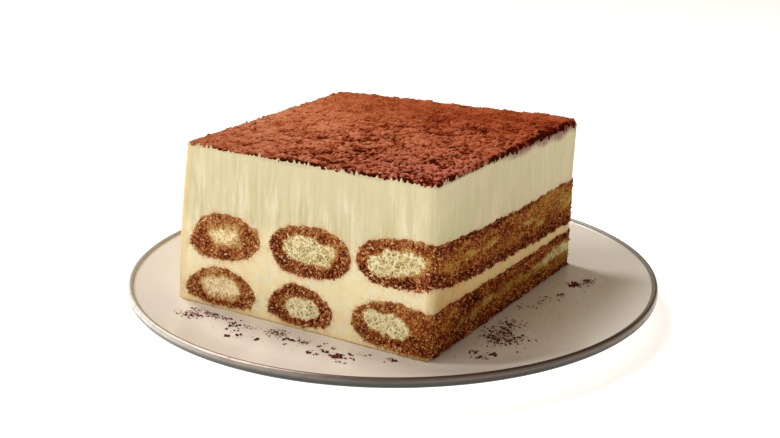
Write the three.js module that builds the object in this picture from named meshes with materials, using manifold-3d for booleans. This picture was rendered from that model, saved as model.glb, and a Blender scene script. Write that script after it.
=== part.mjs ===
// A cut portion of tiramisu on its dessert plate.
//
// Units are millimetres and +Z is up. The origin is the centre of the plate's foot, on the surface that the
// plate stands on. The face that shows the ladyfingers cut across looks along -Y, and the face that cuts the
// right-hand ladyfingers lengthwise looks along +X.

import * as THREE from 'three';
import Module from 'manifold-3d';
import { mergeVertices } from 'three/addons/utils/BufferGeometryUtils.js';

// ---------------------------------------------------------------- driving dimensions

// The plate: a flat well, a gently rising side and a rounded rim, on a low foot ring. The rim's outside is
// upright for a short way between its upper and its lower rounding.
const PLATE_RADIUS = 89;
const PLATE_THICKNESS = 3.3;
const WELL_RADIUS = 72;
const RIM_RISE = 5.4;
const RIM_BEAD_RADIUS = 1.1;
const RIM_BEAD_ARC = [130, -80];
const RIM_WALL = 0.8;
const RIM_THICKNESS = 2.45;
const SLOPE_CURVE = 1.25;
const FOOT_HEIGHT = 2.2;
const FOOT_RADIUS = 50;
const FOOT_WIDTH = 5;
const FOOT_SLOPE = 2;
const WELL_HEIGHT = FOOT_HEIGHT + PLATE_THICKNESS;

// The cut block of cream and ladyfingers, measured at its base.
const BLOCK_WIDTH = 97.3;
const BLOCK_DEPTH = 100;
const CREAM_HEIGHT = 51.6;
const BLOCK_CENTRE = { x: -4.3, y: -1.6 };
const BASE_ROUNDING = 0.7;
const LEFT_BULGE = 0.9;
const LEFT_BULGE_POWER = 4;
const SHARPEST_CORNER = 0.3;

// Each upright edge's radius, how far its top leans from its base, and how thick the cocoa is above it.
const EDGES = [
  { side: [1, -1], radius: 2.2, lean: [-0.1, 2.8], cocoa: 1.4 },
  { side: [1, 1], radius: 2.6, lean: [1.3, -0.8], cocoa: 2.2 },
  { side: [-1, 1], radius: 3.0, lean: [0.9, -2.1], cocoa: 1.1 },
  { side: [-1, -1], radius: 4.2, lean: [4.0, 3.4], cocoa: 0.6 },
];

// The layer of cocoa powder on top: its lumps' height and size, how far its edge waves in and out and how
// long those waves are, and how much of its thickness is left at its edge.
const COCOA_LUMP = 0.5;
const COCOA_LUMP_SIZE = 5;
const COCOA_EDGE_WAVE = 0.35;
const COCOA_EDGE_WAVE_LENGTH = 3;
const COCOA_EDGE_SHARE = 0.6;
const COCOA_CORNER_CUT = 0.9;

// Each ladyfinger's section on the -Y face: its middle, across from the block's left edge and up from its
// base, its half width and half height, how square it is (2 is an ellipse), how much its top is narrower
// than its bottom, and its tilt in degrees. Further back its middle has moved by drift across and up, and
// at the +Y face its section is larger by the share spread.
const LADYFINGERS = [
  { name: 'ladyfinger_top_left', across: 19.8, up: 23.9, halfWidth: 13.7, halfHeight: 7.3,
    square: 2.05, narrow: 0.05, tilt: 5, drift: [0.6, -2.6], spread: 0.04 },
  { name: 'ladyfinger_top_middle', across: 53.5, up: 25, halfWidth: 15.1, halfHeight: 7.9,
    square: 2.15, narrow: -0.03, tilt: 1, drift: [-0.8, -2.9], spread: -0.05 },
  { name: 'ladyfinger_top_right', across: 87, up: 27.4, halfWidth: 15.8, halfHeight: 7.4,
    square: 2.3, narrow: 0.02, tilt: 4, drift: [0.2, -3.9], spread: 0.12 },
  { name: 'ladyfinger_bottom_left', across: 18.9, up: 7.2, halfWidth: 13.8, halfHeight: 5.9,
    square: 2.1, narrow: 0.26, tilt: 1, drift: [0.9, 0.1], spread: 0.03 },
  { name: 'ladyfinger_bottom_middle', across: 50.9, up: 7.5, halfWidth: 11.9, halfHeight: 6.2,
    square: 2.1, narrow: 0.18, tilt: 0, drift: [-1.2, 0.2], spread: 0.05 },
  { name: 'ladyfinger_bottom_right', across: 86.6, up: 7.7, halfWidth: 16.8, halfHeight: 6.9,
    square: 2.4, narrow: 0.08, tilt: -3, drift: [0.9, -1.1], spread: -0.02 },
];
// Each section's outline swells and shrinks in a few soft lobes, which turn by a twist in radians from the
// -Y face to the +Y face. The drift is nearly whole behind the first fifth of the depth.
const FINGER_UNEVENNESS = 0.03;
const FINGER_LOBES = 3;
const FINGER_LOBE_TWIST = 2.5;
const DRIFT_POWER = 4;

// How far a ladyfinger's shape is drawn past the faces that cut it.
const FINGER_OVERREACH = 6;

// Clearance between a piece and the piece that it touches.
const GAP = 0.3;

// How finely the round shapes are stepped.
const PLATE_SEGMENTS = 72;
const SLOPE_STEPS = 5;
const BEAD_STEPS = 8;
const CORNER_STEPS = 4;
const SIDE_STEPS = 6;
const HEIGHT_STEPS = 6;
const FINGER_POINTS = 26;
const FINGER_STATIONS = 8;
const COCOA_STEP = 3.1;

const MATERIALS = {
  porcelain: { color: '#e6ddd6', roughness: 0.22, metalness: 0 },
  cream: { color: '#e9dfb8', roughness: 0.55, metalness: 0 },
  ladyfinger: { color: '#8a5426', roughness: 0.85, metalness: 0 },
  cocoa: { color: '#86432a', roughness: 0.95, metalness: 0 },
};

// ---------------------------------------------------------------- solids

const wasm = await Module();
wasm.setup();

// A manifold solid from a closed geometry.
function toSolid(geometry) {
  const bare = geometry.clone();
  bare.deleteAttribute('normal');
  bare.deleteAttribute('uv');
  const merged = mergeVertices(bare);
  return new wasm.Manifold(new wasm.Mesh({
    numProp: 3,
    vertProperties: new Float32Array(merged.attributes.position.array),
    triVerts: new Uint32Array(merged.index.array),
  }));
}

// A named mesh from a manifold solid.
function toMesh(solid, name, finish) {
  const { vertProperties, triVerts } = solid.getMesh();
  const geometry = new THREE.BufferGeometry();
  geometry.setAttribute('position', new THREE.BufferAttribute(vertProperties, 3));
  geometry.setIndex(new THREE.BufferAttribute(triVerts, 1));
  geometry.computeVertexNormals();
  const mesh = new THREE.Mesh(geometry, new THREE.MeshStandardMaterial(MATERIALS[finish]));
  mesh.name = name;
  return mesh;
}

function averageOf(points) {
  const sum = new THREE.Vector3();
  for (const point of points) {
    sum.add(point);
  }
  return sum.divideScalar(points.length);
}

function closedGeometry(vertices, triangles) {
  const geometry = new THREE.BufferGeometry();
  const numbers = vertices.flatMap((vertex) => vertex.toArray());
  geometry.setAttribute('position', new THREE.Float32BufferAttribute(numbers, 3));
  geometry.setIndex(triangles);
  return geometry;
}

// A closed geometry through rings of equally many points. Each ring is joined to the next, and the first
// and last are closed by a fan. Seen from the far end of the loft, a ring's points run anticlockwise.
function loft(rings) {
  const count = rings[0].length;
  const vertices = rings.flat();
  const triangles = [];
  for (let ring = 0; ring + 1 < rings.length; ring += 1) {
    for (let i = 0; i < count; i += 1) {
      const next = (i + 1) % count;
      const low = ring * count;
      const high = low + count;
      triangles.push(low + i, low + next, high + next, low + i, high + next, high + i);
    }
  }
  const start = vertices.push(averageOf(rings[0])) - 1;
  const end = vertices.push(averageOf(rings[rings.length - 1])) - 1;
  const last = (rings.length - 1) * count;
  for (let i = 0; i < count; i += 1) {
    const next = (i + 1) % count;
    triangles.push(start, next, i, end, last + i, last + next);
  }
  return closedGeometry(vertices, triangles);
}

// Evenly spaced shares from 0 to 1.
function fractions(steps) {
  return Array.from({ length: steps + 1 }, (_, i) => i / steps);
}

// ---------------------------------------------------------------- unevenness

// Long steps along a sine wave, whose last decimals look random but are always the same.
const SCATTER = { column: 127.1, row: 311.7, scale: 43758.5453 };

// Which patch of the noise the cocoa's lumps come from.
const COCOA_PATCH = 90;

// A repeatable value from 0 to 1 for a whole-numbered place.
function valueAt(column, row) {
  const wave = Math.sin(column * SCATTER.column + row * SCATTER.row) * SCATTER.scale;
  return wave - Math.floor(wave);
}

// Smooth noise from -1 to 1 with lumps one unit wide.
function smoothNoise(x, y) {
  const column = Math.floor(x);
  const row = Math.floor(y);
  const across = THREE.MathUtils.smoothstep(x - column, 0, 1);
  const along = THREE.MathUtils.smoothstep(y - row, 0, 1);
  const near = THREE.MathUtils.lerp(valueAt(column, row), valueAt(column + 1, row), across);
  const far = THREE.MathUtils.lerp(valueAt(column, row + 1), valueAt(column + 1, row + 1), across);
  return 2 * THREE.MathUtils.lerp(near, far, along) - 1;
}

// ---------------------------------------------------------------- the block's shape

// How near a place in the block is to each upright edge, as shares that add up to 1. x and y are measured
// from the block's middle.
function edgeShares(x, y) {
  return EDGES.map(({ side }) => (0.5 + side[0] * x / BLOCK_WIDTH) * (0.5 + side[1] * y / BLOCK_DEPTH));
}

// The place that a point of an upright block takes in the real one, whose edges lean and whose left side
// bulges. z is measured from the block's base.
function leanedPoint(x, y, z) {
  const height = z / CREAM_HEIGHT;
  const place = new THREE.Vector3(BLOCK_CENTRE.x + x, BLOCK_CENTRE.y + y, WELL_HEIGHT + GAP + z);
  edgeShares(x, y).forEach((share, index) => {
    place.x += EDGES[index].lean[0] * share * height;
    place.y += EDGES[index].lean[1] * share * height;
  });
  const leftness = THREE.MathUtils.clamp(0.5 - x / BLOCK_WIDTH, 0, 1) ** LEFT_BULGE_POWER;
  place.x -= LEFT_BULGE * leftness * Math.sin(Math.PI * THREE.MathUtils.clamp(height, 0, 1));
  return place;
}

// The block's outline seen from above, drawn in by inset: round corners joined by stepped straight sides.
function blockOutline(inset, cornerSteps, sideSteps) {
  const corners = EDGES.map(({ side, radius }) => {
    const round = Math.max(radius - inset, SHARPEST_CORNER);
    const x = side[0] * (BLOCK_WIDTH / 2 - inset - round);
    const y = side[1] * (BLOCK_DEPTH / 2 - inset - round);
    const middle = Math.atan2(side[1], side[0]);
    return fractions(cornerSteps).map((part) => {
      const angle = middle + (part - 0.5) * Math.PI / 2;
      return new THREE.Vector2(x + round * Math.cos(angle), y + round * Math.sin(angle));
    });
  });
  return corners.flatMap((corner, index) => {
    const from = corner[corner.length - 1];
    const to = corners[(index + 1) % corners.length][0];
    const side = fractions(sideSteps).slice(1, -1).map((part) => from.clone().lerp(to, part));
    return [...corner, ...side];
  });
}

function blockRing(inset, height) {
  return blockOutline(inset, CORNER_STEPS, SIDE_STEPS).map(({ x, y }) => leanedPoint(x, y, height));
}

// The whole block of cream, before the ladyfingers' channels are cut.
function blockSolid() {
  const heights = fractions(HEIGHT_STEPS).map((part) => (
    THREE.MathUtils.lerp(BASE_ROUNDING, CREAM_HEIGHT, part)
  ));
  return toSolid(loft([blockRing(BASE_ROUNDING, 0), ...heights.map((height) => blockRing(0, height))]));
}

// ---------------------------------------------------------------- ladyfingers

function signedPower(value, power) {
  return Math.sign(value) * Math.abs(value) ** power;
}

// A ladyfinger from beyond the -Y face to beyond the +Y face, made larger all round by swell.
function fingerSolid(finger, swell) {
  const reach = BLOCK_DEPTH / 2 + FINGER_OVERREACH;
  const tilt = THREE.MathUtils.degToRad(finger.tilt);
  const rings = fractions(FINGER_STATIONS).map((part) => {
    const y = THREE.MathUtils.lerp(-reach, reach, part);
    const spread = 1 + finger.spread * part ** 2;
    const settled = 1 - THREE.MathUtils.clamp(0.5 - y / BLOCK_DEPTH, 0, 1) ** DRIFT_POWER;
    const middleX = finger.across - BLOCK_WIDTH / 2 + finger.drift[0] * settled;
    const middleZ = finger.up + finger.drift[1] * settled;
    return Array.from({ length: FINGER_POINTS }, (_, i) => {
      const angle = i / FINGER_POINTS * 2 * Math.PI;
      const cos = signedPower(Math.cos(angle), 2 / finger.square);
      const sin = signedPower(Math.sin(angle), 2 / finger.square);
      const lobes = FINGER_LOBES * angle + FINGER_LOBE_TWIST * part + finger.across;
      const uneven = 1 + FINGER_UNEVENNESS * Math.sin(lobes);
      const x = (finger.halfWidth * uneven * spread + swell) * cos * (1 - finger.narrow * sin);
      const z = (finger.halfHeight * uneven * spread + swell) * sin;
      return leanedPoint(
        middleX + x * Math.cos(tilt) - z * Math.sin(tilt),
        y,
        middleZ + x * Math.sin(tilt) + z * Math.cos(tilt),
      );
    });
  });
  return toSolid(loft(rings.reverse()));
}

// ---------------------------------------------------------------- cocoa

function cocoaThickness(x, y) {
  const even = edgeShares(x, y).reduce((sum, share, index) => sum + share * EDGES[index].cocoa, 0);
  return even + COCOA_LUMP * smoothNoise(x / COCOA_LUMP_SIZE + COCOA_PATCH, y / COCOA_LUMP_SIZE);
}

// A thin slab with a lumpy top and a wavy edge: a grid of columns and rows over a flat bottom.
function cocoaSolid() {
  const columns = Math.round(BLOCK_WIDTH / COCOA_STEP);
  const rows = Math.round(BLOCK_DEPTH / COCOA_STEP);
  const width = BLOCK_WIDTH - 2 * COCOA_EDGE_WAVE;
  const depth = BLOCK_DEPTH - 2 * COCOA_EDGE_WAVE;
  const place = (column, row, share) => {
    const atSide = column === 0 || column === columns;
    const atEnd = row === 0 || row === rows;
    const drawnIn = atSide && atEnd ? COCOA_CORNER_CUT : 0;
    const x = (column / columns - 0.5) * (width - 2 * drawnIn);
    const y = (row / rows - 0.5) * (depth - 2 * drawnIn);
    const waveX = atSide ? COCOA_EDGE_WAVE * smoothNoise(column, y / COCOA_EDGE_WAVE_LENGTH) : 0;
    const waveY = atEnd ? COCOA_EDGE_WAVE * smoothNoise(x / COCOA_EDGE_WAVE_LENGTH, row) : 0;
    const height = (atSide || atEnd ? COCOA_EDGE_SHARE : 1) * cocoaThickness(x, y);
    return leanedPoint(x + waveX, y + waveY, CREAM_HEIGHT + GAP + share * height);
  };

  const vertices = [];
  for (let row = 0; row <= rows; row += 1) {
    for (let column = 0; column <= columns; column += 1) {
      vertices.push(place(column, row, 1));
    }
  }
  const onTop = (column, row) => row * (columns + 1) + column;
  const triangles = [];
  for (let row = 0; row < rows; row += 1) {
    for (let column = 0; column < columns; column += 1) {
      const near = onTop(column, row);
      const far = onTop(column, row + 1);
      triangles.push(near, near + 1, far + 1, near, far + 1, far);
    }
  }

  const border = [];
  for (let column = 0; column < columns; column += 1) {
    border.push([column, 0]);
  }
  for (let row = 0; row < rows; row += 1) {
    border.push([columns, row]);
  }
  for (let column = columns; column > 0; column -= 1) {
    border.push([column, rows]);
  }
  for (let row = rows; row > 0; row -= 1) {
    border.push([0, row]);
  }
  const low = vertices.length;
  vertices.push(...border.map(([column, row]) => place(column, row, 0)));
  const middle = vertices.push(leanedPoint(0, 0, CREAM_HEIGHT + GAP)) - 1;
  border.forEach(([column, row], index) => {
    const next = (index + 1) % border.length;
    const top = onTop(column, row);
    const nextTop = onTop(...border[next]);
    triangles.push(low + index, low + next, nextTop, low + index, nextTop, top);
    triangles.push(middle, low + next, low + index);
  });
  return toSolid(closedGeometry(vertices, triangles));
}

// ---------------------------------------------------------------- plate

// The plate's section from the middle of the well, over the rim and foot, to the axis below.
function plateSection() {
  const beadX = PLATE_RADIUS - RIM_BEAD_RADIUS;
  const beadZ = WELL_HEIGHT + RIM_RISE - RIM_BEAD_RADIUS;
  const slope = (part, thickness) => new THREE.Vector2(
    THREE.MathUtils.lerp(WELL_RADIUS, beadX - RIM_BEAD_RADIUS, part),
    WELL_HEIGHT - thickness + (RIM_RISE - RIM_BEAD_RADIUS) * part ** SLOPE_CURVE,
  );
  const top = fractions(SLOPE_STEPS).map((part) => slope(part, 0));
  const bead = fractions(BEAD_STEPS).map((part) => {
    const angle = THREE.MathUtils.degToRad(THREE.MathUtils.lerp(...RIM_BEAD_ARC, part));
    const drop = angle < 0 ? RIM_WALL : 0;
    return new THREE.Vector2(
      beadX + RIM_BEAD_RADIUS * Math.cos(angle),
      beadZ - drop + RIM_BEAD_RADIUS * Math.sin(angle),
    );
  });
  const under = fractions(SLOPE_STEPS).map((part) => (
    slope(part, THREE.MathUtils.lerp(PLATE_THICKNESS, RIM_THICKNESS, part))
  ));
  return [
    new THREE.Vector2(0, WELL_HEIGHT),
    ...top,
    ...bead,
    ...under.reverse().slice(1),
    new THREE.Vector2(FOOT_RADIUS + FOOT_SLOPE, FOOT_HEIGHT),
    new THREE.Vector2(FOOT_RADIUS, 0),
    new THREE.Vector2(FOOT_RADIUS - FOOT_WIDTH, 0),
    new THREE.Vector2(FOOT_RADIUS - FOOT_WIDTH - FOOT_SLOPE, FOOT_HEIGHT),
    new THREE.Vector2(0, FOOT_HEIGHT),
  ];
}

function plateSolid() {
  const geometry = new THREE.LatheGeometry(plateSection().reverse(), PLATE_SEGMENTS);
  return toSolid(geometry.rotateX(Math.PI / 2));
}

// ---------------------------------------------------------------- the part

const block = blockSolid();
let cream = block;
for (const finger of LADYFINGERS) {
  cream = cream.subtract(fingerSolid(finger, GAP));
}

const portion = new THREE.Group();
portion.add(toMesh(plateSolid(), 'plate', 'porcelain'));
portion.add(toMesh(cream, 'cream', 'cream'));
for (const finger of LADYFINGERS) {
  portion.add(toMesh(block.intersect(fingerSolid(finger, 0)), finger.name, 'ladyfinger'));
}
portion.add(toMesh(cocoaSolid(), 'cocoa_layer', 'cocoa'));

export default portion;
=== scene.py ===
"""A tiramisu portion on its plate: the looks of every piece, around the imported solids.

Shapes are worked out in millimetres in the upright block's own space, where the block's faces are flat, and
are then leaned like the real block and scaled to metres.
"""

import itertools
import math

import bpy
import numpy as np
from mathutils import Matrix, Vector


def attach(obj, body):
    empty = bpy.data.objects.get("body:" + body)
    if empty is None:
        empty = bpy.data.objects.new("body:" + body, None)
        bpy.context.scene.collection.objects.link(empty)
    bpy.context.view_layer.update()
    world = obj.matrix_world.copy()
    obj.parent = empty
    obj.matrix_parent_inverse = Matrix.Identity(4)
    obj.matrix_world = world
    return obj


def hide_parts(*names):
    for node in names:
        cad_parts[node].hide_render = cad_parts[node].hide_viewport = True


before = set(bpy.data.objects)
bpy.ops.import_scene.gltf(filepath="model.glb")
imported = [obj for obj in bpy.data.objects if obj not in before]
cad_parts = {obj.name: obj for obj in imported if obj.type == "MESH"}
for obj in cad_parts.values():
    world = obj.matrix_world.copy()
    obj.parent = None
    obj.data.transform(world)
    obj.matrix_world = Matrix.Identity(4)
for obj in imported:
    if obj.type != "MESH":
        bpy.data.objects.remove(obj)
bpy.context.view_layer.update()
MM = 0.001
TINY = 1e-9

# ---------------------------------------------------------------- driving dimensions, in millimetres

# The plate's profile.
PLATE_RADIUS = 88.99
PLATE_THICKNESS = 3.3
WELL_RADIUS = 72.0
RIM_RISE = 5.4
RIM_BEAD_RADIUS = 1.1
RIM_WALL = 0.8
RIM_THICKNESS = 2.45
SLOPE_CURVE = 1.25
SLOPE_EASING = 0.2
FOOT_HEIGHT = 2.2
FOOT_RADIUS = 50.0
FOOT_WIDTH = 5.0
FOOT_SLOPE = 2.0
FOOT_HOLLOW = 1.2
FOOT_ROUNDING = 0.6
PLATE_EYE = 0.5
WELL_HEIGHT = FOOT_HEIGHT + PLATE_THICKNESS
BAND_THICKNESS = 0.12
PLATE_SEGMENTS = 300

# The block of cream and ladyfingers, upright and measured at its base.
BLOCK_WIDTH = 97.3
BLOCK_DEPTH = 100.0
CREAM_HEIGHT = 51.6
HALF_WIDTH = BLOCK_WIDTH / 2
HALF_DEPTH = BLOCK_DEPTH / 2
HALF_BLOCK = np.array([HALF_WIDTH, HALF_DEPTH])
BLOCK_CENTRE = (-4.3, -1.6)
BLOCK_BASE = 5.8
BLOCK_SINK = 0.28
BASE_ROUNDING = 0.45
BASE_INSET = 2.5
LIP_THICKNESS = 0.45
LIP_DIP = 0.1
LEFT_BULGE = 0.9
LEFT_BULGE_POWER = 4

# Each upright edge, anticlockwise from the near right: the sides it joins, its radius, how far its top leans
# from its base, and how thick the cocoa is above it.
EDGES = [
    dict(side=(1, -1), radius=2.2, lean=(-0.1, 2.8), cocoa=1.4),
    dict(side=(1, 1), radius=2.6, lean=(1.3, -0.8), cocoa=2.2),
    dict(side=(-1, 1), radius=3.0, lean=(0.9, -2.1), cocoa=1.1),
    dict(side=(-1, -1), radius=4.2, lean=(4.0, 3.4), cocoa=0.6),
]

# How far apart the skin's points are along each side, anticlockwise from the right side, and up the side.
SIDE_SPACING = (0.38, 0.56, 0.9, 0.36)
HEIGHT_SPACING = 0.4
CORNER_STEPS = 9
LEAST_RADIUS = 0.3
ON_SKIN = 0.02

# What most ladyfingers have: a sharp-edged, even core, and how pale the soaked crumb round it is.
USUAL = dict(blur=0.3, core_edge=[(0, 0)], soak=0.29)

# Each ladyfinger's section on the front, as in the solids, and how far its crumb stands out past that outline
# in each direction (in degrees from the right). Then its pale core on the front: the core's middle (across,
# up), half width and half height, its tilt in degrees, how far its edge is blurred, where it stands out, and
# the golden fringe round it: the direction where that is widest, and how wide it is there.
LADYFINGERS = [USUAL | own for own in (
    dict(name="ladyfinger_top_left", across=19.8, up=23.9, half=(13.7, 7.3), square=2.05, narrow=0.05,
         tilt=5, drift=(0.6, -2.6), spread=0.04,
         edge=[(0, 0.7), (22, 0.9), (45, 0.3), (90, 0), (105, 0.9), (125, 0), (170, -1.2), (208, 1.1),
               (270, 0.3)],
         core=(20.3, 24.6, 6.6, 3.6), core_tilt=2, blur=3.2, gold=(70, 1.2), soak=0.4),
    dict(name="ladyfinger_top_middle", across=53.5, up=25, half=(15.1, 7.9), square=2.15, narrow=-0.03,
         tilt=1, drift=(-0.8, -2.9), spread=-0.05,
         edge=[(0, 0.3), (90, 0.3), (180, 0.2), (240, 0.3), (280, 0.1), (320, 0.3)],
         core=(53.2, 25.5, 9.2, 4.1), core_tilt=-2, gold=(5, 1.5),
         core_edge=[(0, 0), (40, 0.8), (50, 0.2), (61, -1.2), (75, -0.6), (90, 0), (140, 0.9), (165, 0),
                    (315, 0.3)]),
    dict(name="ladyfinger_top_right", across=87, up=27.4, half=(15.8, 7.4), square=2.3, narrow=0.02,
         tilt=4, drift=(0.2, -3.9), spread=0.12,
         edge=[(0, 0), (60, 0.6), (100, 0), (140, 0.3), (180, 0.4), (270, 0.1)],
         core=(84.9, 27.3, 10.4, 3.8), core_tilt=9, gold=(0, 1.8),
         core_edge=[(0, -0.6), (30, 0.2), (110, 0), (125, -0.8), (150, 1), (180, 0.3), (225, 0.6), (270, 0)]),
    dict(name="ladyfinger_bottom_left", across=18.9, up=7.2, half=(13.8, 5.9), square=2.1, narrow=0.26,
         tilt=1, drift=(0.9, 0.1), spread=0.03,
         edge=[(0, -0.1), (45, 0.5), (90, 0.3), (180, -0.8), (215, 0.5), (270, 0.8), (320, 0.8)],
         core=(19.7, 7.2, 8, 4.2), core_tilt=-2, blur=2.4, gold=(80, 1.2), soak=0.34),
    dict(name="ladyfinger_bottom_middle", across=50.9, up=7.5, half=(11.9, 6.2), square=2.1, narrow=0.18,
         tilt=0, drift=(-1.2, 0.2), spread=0.05,
         edge=[(0, -0.2), (90, 0.1), (110, 0.7), (140, -0.2), (180, -0.3), (215, 0.6), (270, 0.7), (330, 0)],
         core=(51.7, 6.7, 6.3, 3.8), core_tilt=-3, gold=(150, 1.5)),
    dict(name="ladyfinger_bottom_right", across=86.6, up=7.7, half=(16.8, 6.9), square=2.4, narrow=0.08,
         tilt=-3, drift=(0.9, -1.1), spread=-0.02,
         edge=[(0, 0.4), (60, 0.6), (100, 0.8), (180, -0.8), (225, 0.7), (270, 0.8), (310, 1.3)],
         core=(82, 8.5, 7.8, 3.6), core_tilt=-4, gold=(180, 0.8), soak=0.36),
)]
FINGER_UNEVENNESS = 0.03
FINGER_LOBES = 3
FINGER_LOBE_TWIST = 2.5
DRIFT_POWER = 4
FINGER_REACH = HALF_DEPTH + 6
FINGER_POINTS = 72
FINGER_STATIONS = 40

# The right face cuts two ladyfingers lengthwise. How far their crumb stands out there above and below, and
# how pale each is in general, how deep under its upper and its lower surface that starts, then its patches,
# one over the other: distance behind the front, height, half length, half height, and paleness.
SIDE_CUTS = {
    "ladyfinger_top_right": dict(above=1.1, below=0.7, pale=0.35, start=(0.3, 1.2), patches=[
        (3, 23.5, 6, 3.0, 0.16), (14, 26.3, 11, 1.7, 0.5), (25.5, 26.2, 3.4, 1.0, 0.68),
        (36.5, 25.6, 4.2, 1.2, 0.66), (46, 26.0, 5.5, 3.2, 0.25), (52, 30.0, 9, 1.2, 0.4),
        (66, 25.2, 6, 1.6, 0.66), (73, 23.2, 3.6, 1.0, 0.72), (32, 29.5, 14, 1.2, 0.36),
        (80, 28.4, 20, 3.8, 0.49), (94, 25.6, 7, 3.0, 0.62)]),
    "ladyfinger_bottom_right": dict(above=1.3, below=0.7, pale=0.3, start=(-1.8, 0.2), patches=[
        (14, 10.8, 4.6, 1.2, 0.46), (25, 6.0, 7, 1.3, 0.46), (27, 5.4, 2.0, 0.8, 0.7),
        (25, 9.8, 6.0, 1.1, 0.14), (36.5, 7.4, 3.8, 1.1, 0.82), (49, 7.0, 9, 1.7, 0.54),
        (62, 6.9, 6, 1.6, 0.6), (73, 7.2, 6, 1.6, 0.72), (77, 5.4, 4, 1.1, 0.62), (79, 6.6, 3.6, 1.8, 0.8),
        (48, 10.6, 16, 1.0, 0.36), (90, 7.6, 14, 2.2, 0.95), (95, 7.0, 7, 1.9, 1.1),
        (90, 3.6, 12, 2.4, 0.52)]),
}

# A ladyfinger is drawn out past its outline under the cream, and the cream past it under the crumb, so that
# crumb and cream meet in a ragged line.
CRUMB_OVERLAP = 2.2
CREAM_OVERLAP = 0.9

# How far the crumb's skin stands out, how far it sinks under the cream at its edge, and its gap to the plate.
CRUMB_RISE = 0.1
CRUMB_SINK = 1.1
PLATE_GAP = 0.02

# Torn shreds of crumb that stand on the cut ladyfingers: how far apart, between which heights, their radii,
# how far their middles stand out for that radius, and how much longer than wide they are.
GRAIN_SPACING = 0.66
GRAIN_BOTTOM = 0.15
GRAIN_TOP = 42
GRAIN_RADII = (0.17, 0.36)
GRAIN_RISE = (-0.2, 0.5)
GRAIN_LENGTHS = (1.2, 3.4)


# ---------------------------------------------------------------- unevenness

PRIMES = (73856093, 19349663, 83492791)


def scatter(places, seed, channel=0):
    """A repeatable value from 0 to 1 for each whole-numbered place."""
    mixed = np.full(len(places), (seed * 2654435 + channel * 40503) % 2**32, np.uint32)
    for axis in range(places.shape[1]):
        mixed ^= places[:, axis].astype(np.int64).astype(np.uint32) * np.uint32(PRIMES[axis])
        mixed ^= mixed >> np.uint32(15)
        mixed *= np.uint32(2246822519)
        mixed ^= mixed >> np.uint32(13)
    return mixed / 2**32


def smooth_noise(points, size, seed):
    """Smooth noise from -1 to 1 whose swells are about one size wide. size may differ along each axis."""
    scaled = points / np.asarray(size, float)
    low = np.floor(scaled)
    part = scaled - low
    part = part * part * (3 - 2 * part)
    total = np.zeros(len(points))
    for corner in itertools.product((0, 1), repeat=points.shape[1]):
        weight = np.prod(np.where(corner, part, 1 - part), axis=1)
        total += weight * scatter(low + corner, seed)
    return 2 * total - 1


def noises(points, *layers):
    """The sum of smooth noises, each given as its largest value, size and seed."""
    return sum(most * smooth_noise(points, size, seed) for most, size, seed in layers)


def nearest_grain(points, size, seed):
    """How far the nearest of many scattered grains is, in sizes, and a value from 0 to 1 for that grain."""
    scaled = points / size
    low = np.floor(scaled)
    axes = range(points.shape[1])
    nearest = np.full(len(points), np.inf)
    value = np.zeros(len(points))
    for offset in itertools.product((-1, 0, 1), repeat=points.shape[1]):
        cell = low + offset
        centre = cell + np.stack([scatter(cell, seed, axis + 1) for axis in axes], axis=1)
        distance = np.linalg.norm(scaled - centre, axis=1)
        closer = distance < nearest
        nearest = np.where(closer, distance, nearest)
        value = np.where(closer, scatter(cell, seed), value)
    return nearest, value


def grain_bumps(points, size, seed):
    """Rounded bumps of uneven height from 0 to 1, one on each grain."""
    distance, value = nearest_grain(points, size, seed)
    return np.clip(1 - distance**2, 0, 1) * (0.45 + 0.55 * value)


def smoothstep(low, high, value):
    part = np.clip((value - low) / (high - low), 0, 1)
    return part * part * (3 - 2 * part)


# ---------------------------------------------------------------- lumps

def lump_shape():
    """The points and faces of a twenty-sided lump of radius 1."""
    ratio = (1 + math.sqrt(5)) / 2
    size = math.hypot(1, ratio)
    corners = [np.roll((0, a, b * ratio), turn) for turn in range(3) for a in (-1, 1) for b in (-1, 1)]
    corners = np.array(corners) / size
    faces = []
    for trio in itertools.combinations(range(len(corners)), 3):
        a, b, c = corners[list(trio)]
        longest = max(np.linalg.norm(a - b), np.linalg.norm(b - c), np.linalg.norm(c - a))
        if longest < 2.1 / size:
            faces.append(trio if np.dot(np.cross(b - a, c - a), a) > 0 else trio[::-1])
    return corners, np.array(faces)


STRETCHES = (0.7, 1.3)
CORNER_REACHES = (0.72, 1.22)


def scattered_lumps(places, radii, draw, flat=1.0, lengths=(1, 1), first=0):
    """Uneven lumps, one at each place: their points, and faces whose numbers start at first. Each is drawn
    out in a direction of its own, to a length between the given ones."""
    shape, faces = lump_shape()
    count = len(places)
    stretch = draw.uniform(*STRETCHES, (count, 1, 3)) * (1, 1, flat)
    rough = shape * draw.uniform(*CORNER_REACHES, (count, len(shape), 1)) * stretch
    grain = draw.normal(0, 1, (count, 1, 3))
    grain /= np.linalg.norm(grain, axis=2, keepdims=True)
    longer = draw.uniform(*lengths, (count, 1, 1)) - 1
    rough += grain * (rough * grain).sum(axis=2, keepdims=True) * longer
    points = places[:, None] + rough * np.asarray(radii).reshape(-1, 1, 1)
    starts = first + np.arange(count)[:, None, None] * len(shape)
    return points.reshape(-1, 3), (faces + starts).reshape(-1, 3)


# ---------------------------------------------------------------- meshes

def add_mesh(name, points, faces):
    """A smooth mesh object from points in millimetres."""
    mesh = bpy.data.meshes.new(name)
    mesh.from_pydata(np.asarray(points) * MM, [], faces)
    mesh.shade_smooth()
    mesh.update()
    piece = bpy.data.objects.new(name, mesh)
    bpy.context.scene.collection.objects.link(piece)
    return piece


def points_of(piece):
    """A piece's points in millimetres."""
    flat = np.zeros(len(piece.data.vertices) * 3)
    piece.data.vertices.foreach_get("co", flat)
    return flat.reshape(-1, 3) / MM


def faces_of(piece):
    return [tuple(face.vertices) for face in piece.data.polygons]


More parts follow.
